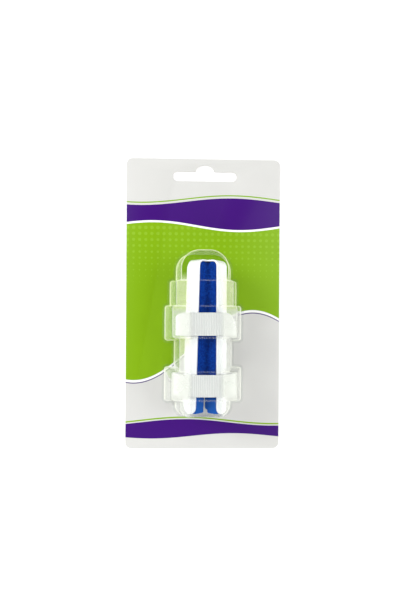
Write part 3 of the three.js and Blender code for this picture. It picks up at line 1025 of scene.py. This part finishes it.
class PACK_OT_bands(Operator):
    """Model the two ribbed elastic loops round the splint"""

    bl_idname = "splint_pack.bands"
    bl_label = "Elastic Bands"

    def execute(self, context):
        settings = context.scene.band_settings
        elastic = ribbed_elastic(settings)
        upper = self.loop(settings, "band_upper", settings.upper_low, settings.upper_width)
        self.droop(upper, settings)
        self.finish_band(upper, settings, elastic)
        hand_over(upper, "upper_band")
        lower = self.loop(
            settings, "band_lower", settings.lower_low, settings.lower_width, settings.lower_spread
        )
        self.finish_band(lower, settings, elastic)
        hand_over(lower, "lower_band")
        return {"FINISHED"}

    def loop(self, settings, name, low_edge, width, spread=0.0):
        """A circle, stretched and drawn apart into a loop with flat sides, and drawn out into a band.

        The left end stands out further by the spread.
        """
        flat = settings.flat_width / 2
        side = settings.loop_width / 2 - flat
        height = settings.loop_height / 2
        bulge = math.pi * (3 * (side + height) - math.sqrt((3 * side + height) * (side + 3 * height)))
        clear_selection()
        bpy.ops.mesh.primitive_circle_add(
            vertices=4 * round(bulge / settings.rib_pitch),
            radius=1,
            fill_type="NOTHING",
            location=(settings.middle_x, low_edge, settings.middle_z),
            rotation=(math.pi / 2, 0, 0),
        )
        band = named_piece(name)
        band.scale = (side, height, 1)
        settle(band)
        edit(band)
        for way in (1, -1):
            pick(band, "VERT", lambda vertex: (vertex.co.x - settings.middle_x) * way > 0.001 * MM)
            bpy.ops.transform.translate(value=(flat if way > 0 else -flat - spread, 0, 0))
        pick(band, "EDGE", lambda edge: edge.calc_length() > flat)
        cuts = 2 * round(flat / settings.rib_pitch * 2) - 1
        bpy.ops.mesh.subdivide(number_cuts=cuts)
        bpy.ops.mesh.select_all(action="SELECT")
        for _ in range(settings.rows):
            extrude_by((0, width / settings.rows, 0))
        turn_outwards(band, lambda face: middle(face).z, UP)
        leave_edit_mode()
        self.count_ribs(band, settings)
        return band

    def count_ribs(self, band, settings):
        """Store how many ribs lie between the loop's back and each vertex: four columns make a rib."""

        def column(vertex):
            return (round(vertex.co.x / MM, 3), round(vertex.co.z / MM, 3))

        turns = {}
        for vertex in band.data.vertices:
            turns[column(vertex)] = math.atan2(
                vertex.co.x - settings.middle_x, settings.middle_z - vertex.co.z
            )
        numbers = {key: number for number, key in enumerate(sorted(turns, key=turns.get))}
        rib = band.data.attributes.new("rib", "FLOAT", "POINT")
        for vertex, item in zip(band.data.vertices, rib.data):
            item.value = numbers[column(vertex)] / 4

    def sink_grooves(self, band, settings):
        """The column between two ribs is sunk, and the columns beside it half as far."""
        edit(band)
        layer = bmesh.from_edit_mesh(band.data).verts.layers.float["rib"]
        quarters = [round(vertex[layer] * 4) % 4 for vertex in items_of(band, "VERT")]
        half_depth = settings.rib_depth / 2
        for quarter, depth in ((0, settings.rib_depth), (1, half_depth), (3, half_depth)):
            pick(band, "VERT", lambda vertex: quarters[vertex.index] == quarter)
            bpy.ops.transform.shrink_fatten(value=-depth)
        leave_edit_mode()

    def droop(self, band, settings):
        """The top edge sinks at each end of the loop, and the rows below it draw closer."""
        edit(band)
        low = settings.upper_low
        width = settings.upper_width
        for way, reach, drop in (
            (-1, settings.left_reach, settings.left_drop),
            (1, settings.right_reach, settings.right_drop),
        ):
            end = settings.loop_width / 2
            start = end - reach
            edges = [start + reach * (step / DROOP_STEPS) ** DROOP_SPACING for step in range(DROOP_STEPS)]
            for inner, outer in zip(edges, edges[1:] + [end + MM]):
                share = ((inner + min(outer, end)) / 2 - start) / reach
                sunk = drop * (1 - math.sqrt(max(0.0, 1 - share * share)))

                def in_strip(vertex, inner=inner, outer=outer):
                    place = (vertex.co.x - settings.middle_x) * way
                    return inner <= place < outer

                if not any(in_strip(vertex) for vertex in items_of(band, "VERT")):
                    continue
                pick(band, "VERT", in_strip)
                bpy.ops.transform.resize(
                    value=(1, (width - sunk) / width, 1), center_override=(0, low, 0)
                )
        leave_edit_mode()

    def finish_band(self, band, settings, elastic):
        apply_modifier(band, "SOLIDIFY", thickness=settings.thickness, offset=-1, use_even_offset=True)
        round_edges(band, RIM_RADIUS, 3, 60)
        self.sink_grooves(band, settings)
        smooth(band, 60)
        band.data.materials.append(elastic)


# Blister

# How far the first block ends below the rim, and how much further each next one does
BLOCK_DROP = 1.0 * MM
BLOCK_STEP = 0.2 * MM
WELD_DISTANCE = 0.004 * MM
CUT_THRESHOLD = 1e-7

# Each bay's half width at the card and at the front, its front's height, and its ends at the card and at the
# front, in millimetres. A narrow bay runs on a little way inside its wider neighbour.
BAYS = {
    "head": ((13.17, 10.87), 22.81, (24.5, 23.6), (7.8, 7.8)),
    "shoulder": ((16.14, 12.94), 23.88, (10.8, 9.6), (-4.4, -4.4)),
    "upper": ((18.6, 14.6), 25.18, (-1.4, -2.1), (-18.0, -16.5)),
    "waist": ((13.94, 11.34), 23.78, (-15.0, -15.0), (-34.5, -34.5)),
    "lower": ((18.7, 14.8), 25.18, (-31.5, -31.9), (-47.8, -44.8)),
    "foot": ((13.34, 10.94), 23.68, (-41.5, -41.5), (-54.6, -52.4)),
}


class PACK_OT_blister(Operator):
    """Model the clear stepped blister from one thin sheet"""

    bl_idname = "splint_pack.blister"
    bl_label = "Blister"

    def execute(self, context):
        settings = context.scene.blister_settings
        sheets = self.sheets(settings)
        blister = None
        for name in BAYS:
            bay = self.bay(settings, name, sheets)
            if blister is None:
                blister = bay
                continue
            apply_modifier(blister, "BOOLEAN", operation="UNION", object=bay, solver="EXACT")
            bpy.data.objects.remove(bay)
        edit(blister)
        bpy.ops.mesh.select_all(action="SELECT")
        bpy.ops.mesh.bisect(
            plane_co=(0, 0, settings.flange_top),
            plane_no=(0, 0, 1),
            clear_inner=True,
            threshold=CUT_THRESHOLD,
        )
        turn_outwards(blister, lambda face: face.calc_area(), UP, WELD_DISTANCE)
        self.flange(blister, settings)
        self.ease_valleys(blister, settings)
        turn_outwards(blister, lambda face: face.calc_area(), UP, WELD_DISTANCE)
        apply_modifier(blister, "SOLIDIFY", thickness=settings.sheet, offset=-1, use_quality_normals=True)
        smooth(blister, 40)
        hand_over(blister, "blister")
        return {"FINISHED"}

    def sheets(self, settings):
        """The finish of the flat parts and the finish of the folds."""
        flat_veils = (
            settings.front_veil,
            settings.margin_veil,
            settings.wall_veil,
            settings.low_wall_veil,
            settings.bend_veil,
            settings.flange_veil,
        )
        fold_veils = (settings.fold_veil,) * 5 + (settings.foot_fold_veil,)
        flat = clear_sheet(settings, "clear_sheet", flat_veils, settings.bend)
        folds = clear_sheet(settings, "clear_folds", fold_veils, settings.clear)
        return flat, folds

    def bay(self, settings, name, sheets):
        """One bay as a solid block: a cube drawn in towards its front, with its edges rounded."""
        (card_half, front_half), height, upper_end, lower_end = BAYS[name]
        height = height * MM
        card_y = (upper_end[0] + lower_end[0]) / 2 * MM
        front_y = (upper_end[1] + lower_end[1]) / 2 * MM
        card_run = (upper_end[0] - lower_end[0]) * MM
        front_run = (upper_end[1] - lower_end[1]) * MM
        sides = (card_half * 2 * MM, card_run, height - settings.flange_top)
        bay = block("blister_shell", sides, (0, card_y, (settings.flange_top + height) / 2))
        for sheet in sheets:
            bay.data.materials.append(sheet)
        edit(bay)
        pick(bay, "FACE", lambda face: face.normal.z > 0.9)
        bpy.ops.transform.resize(
            value=(front_half / card_half, front_run / card_run, 1),
            center_override=(0, card_y, height),
        )
        bpy.ops.transform.translate(value=(0, front_y - card_y, 0))
        jog = (settings.jog_radius, 5)
        upper_corners = (settings.head_radius, 12) if name == "head" else jog
        lower_corners = (settings.foot_radius, 8) if name == "foot" else jog
        for way, (radius, steps) in ((1, upper_corners), (-1, lower_corners)):
            pick(bay, "EDGE", lambda edge: (middle(edge).y - card_y) * way > card_run / 4
                 and abs(edge.verts[0].co.z - edge.verts[1].co.z) > height / 2)
            bpy.ops.mesh.bevel(offset=radius, segments=steps)
        pick(bay, "EDGE", lambda edge: all(near(vertex.co.z, height) for vertex in edge.verts))
        bpy.ops.mesh.bevel(offset=settings.fold_radius, segments=3, material=1)
        # Each block ends at its own depth below the rim, where the joined blocks are cut off level
        pick(bay, "FACE", lambda face: face.normal.z < -0.9)
        extrude_by((0, 0, -BLOCK_DROP - BLOCK_STEP * list(BAYS).index(name)))
        leave_edit_mode()
        return bay

    def flange(self, blister, settings):
        """The foot's outline drawn down, spread, and laid flat on the card."""
        pick(blister, "EDGE", lambda edge: edge.is_boundary)
        extrude_by((0, 0, -settings.flange_top))
        bpy.ops.transform.shrink_fatten(value=settings.flange_width, use_even_offset=True)
        bpy.ops.transform.resize(value=(1, 1, 0), center_override=(0, 0, settings.flange_top))

    def ease_valleys(self, blister, settings):
        """The lines where two bays meet, and the foot's bend into the rim, are rounded."""
        pick(blister, "EDGE", lambda edge: not edge.is_boundary
             and edge.calc_face_angle_signed(0) < -math.radians(25))
        bpy.ops.mesh.bevel(offset=settings.valley_radius, segments=3, material=1)


# Stage

# Each light's place in metres, its width, and the setting that holds its power
LIGHTS = {
    "key": ((-0.785, 0.366, 0.5), 0.45, "key_power"),
    "fill": ((0.74, 0.05, 0.67), 0.8, "fill_power"),
    "low": ((-0.1, -0.7, 0.33), 0.5, "low_power"),
}
# How far a direction points up where the surroundings start to darken, and where they are darkest
OVERHEAD_FROM, OVERHEAD_TO = 0.7, 0.95
SENSOR_WIDTH = 36
FLOOR_DROP = 0.02 * MM


class PACK_OT_stage(Operator):
    """Set the pale floor, the soft light and the camera"""

    bl_idname = "splint_pack.stage"
    bl_label = "Stage"

    def execute(self, context):
        settings = context.scene.stage_settings
        self.floor(settings)
        self.lights(settings)
        self.surroundings(context, settings)
        self.camera(context, settings)
        context.scene.view_settings.view_transform = "Standard"
        return {"FINISHED"}

    def floor(self, settings):
        clear_selection()
        bpy.ops.mesh.primitive_plane_add(size=settings.floor_size, location=(0, 0, -FLOOR_DROP))
        floor = named_piece("floor")
        settle(floor)
        floor.data.materials.append(pale_floor(settings))

    def lights(self, settings):
        for name, (place, width, setting) in LIGHTS.items():
            clear_selection()
            bpy.ops.object.light_add(type="AREA", location=place)
            light = bpy.context.object
            light.name = name
            light.data.shape = "DISK"
            light.data.size = width
            light.data.energy = getattr(settings, setting)
            light.rotation_euler = (-Vector(place)).to_track_quat("-Z", "Y").to_euler()

    def surroundings(self, context, settings):
        """White all round, darker overhead, so that flat glossy faces mirror little of it."""
        world = bpy.data.worlds.new("white_surroundings")
        context.scene.world = world
        world.use_nodes = True
        nodes = world.node_tree.nodes
        links = world.node_tree.links
        background = nodes["Background"]
        background.inputs["Color"].default_value = (1, 1, 1, 1)
        direction = nodes.new("ShaderNodeTexCoord")
        direction.location = (-900, 0)
        axes = nodes.new("ShaderNodeSeparateXYZ")
        axes.location = (-680, 0)
        brightness = nodes.new("ShaderNodeMapRange")
        brightness.location = (-460, 0)
        brightness.interpolation_type = "SMOOTHSTEP"
        brightness.inputs["From Min"].default_value = OVERHEAD_FROM
        brightness.inputs["From Max"].default_value = OVERHEAD_TO
        brightness.inputs["To Min"].default_value = settings.sky
        brightness.inputs["To Max"].default_value = settings.overhead
        links.new(direction.outputs["Generated"], axes.inputs[0])
        links.new(axes.outputs["Z"], brightness.inputs["Value"])
        links.new(brightness.outputs["Result"], background.inputs["Strength"])

    def camera(self, context, settings):
        place = Vector((settings.camera_x, settings.camera_y, settings.camera_z))
        aim = Vector((settings.aim_x, settings.camera_y, CARD_HIGH.z))
        clear_selection()
        bpy.ops.object.camera_add(location=place)
        camera = context.object
        camera.name = "camera"
        forward = (aim - place).normalized()
        up = Matrix.Rotation(settings.roll, 3, "Z") @ ALONG
        right = forward.cross(up).normalized()
        up = right.cross(forward)
        camera.rotation_euler = Matrix((right, up, -forward)).transposed().to_euler()
        camera.data.lens = settings.lens
        camera.data.shift_y = settings.shift
        camera.data.sensor_width = SENSOR_WIDTH
        camera.data.clip_start = 0.01
        context.scene.camera = camera


# Panel and registration

SETTINGS = {
    "card_settings": CardSettings,
    "splint_settings": SplintSettings,
    "band_settings": BandSettings,
    "blister_settings": BlisterSettings,
    "stage_settings": StageSettings,
}

OPERATORS = (
    PACK_OT_card,
    PACK_OT_splint_sheet,
    PACK_OT_foam_lining,
    PACK_OT_bands,
    PACK_OT_blister,
    PACK_OT_stage,
)


class PACK_PT_panel(Panel):
    """Lists the pieces of the pack, and their sizes and colours"""

    bl_label = "Splint Pack"
    bl_idname = "PACK_PT_panel"
    bl_space_type = "VIEW_3D"
    bl_region_type = "UI"
    bl_category = "Splint Pack"

    def draw(self, context):
        layout = self.layout
        for operator in OPERATORS:
            layout.operator(operator.bl_idname)
        for name, group in SETTINGS.items():
            box = layout.box()
            box.label(text=name.replace("_", " ").title())
            settings = getattr(context.scene, name)
            for field in group.__annotations__:
                box.prop(settings, field)


def register():
    for group in SETTINGS.values():
        bpy.utils.register_class(group)
    for name, group in SETTINGS.items():
        setattr(bpy.types.Scene, name, PointerProperty(type=group))
    for operator in OPERATORS:
        bpy.utils.register_class(operator)
    bpy.utils.register_class(PACK_PT_panel)


def unregister():
    bpy.utils.unregister_class(PACK_PT_panel)
    for operator in reversed(OPERATORS):
        bpy.utils.unregister_class(operator)
    for name, group in SETTINGS.items():
        delattr(bpy.types.Scene, name)
        bpy.utils.unregister_class(group)


def main():
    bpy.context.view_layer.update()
    register()
    bpy.ops.splint_pack.card()
    bpy.ops.splint_pack.splint_sheet()
    bpy.ops.splint_pack.foam_lining()
    bpy.ops.splint_pack.bands()
    bpy.ops.splint_pack.blister()
    bpy.ops.splint_pack.stage()
    clear_selection()


if __name__ == "__main__":
    main()
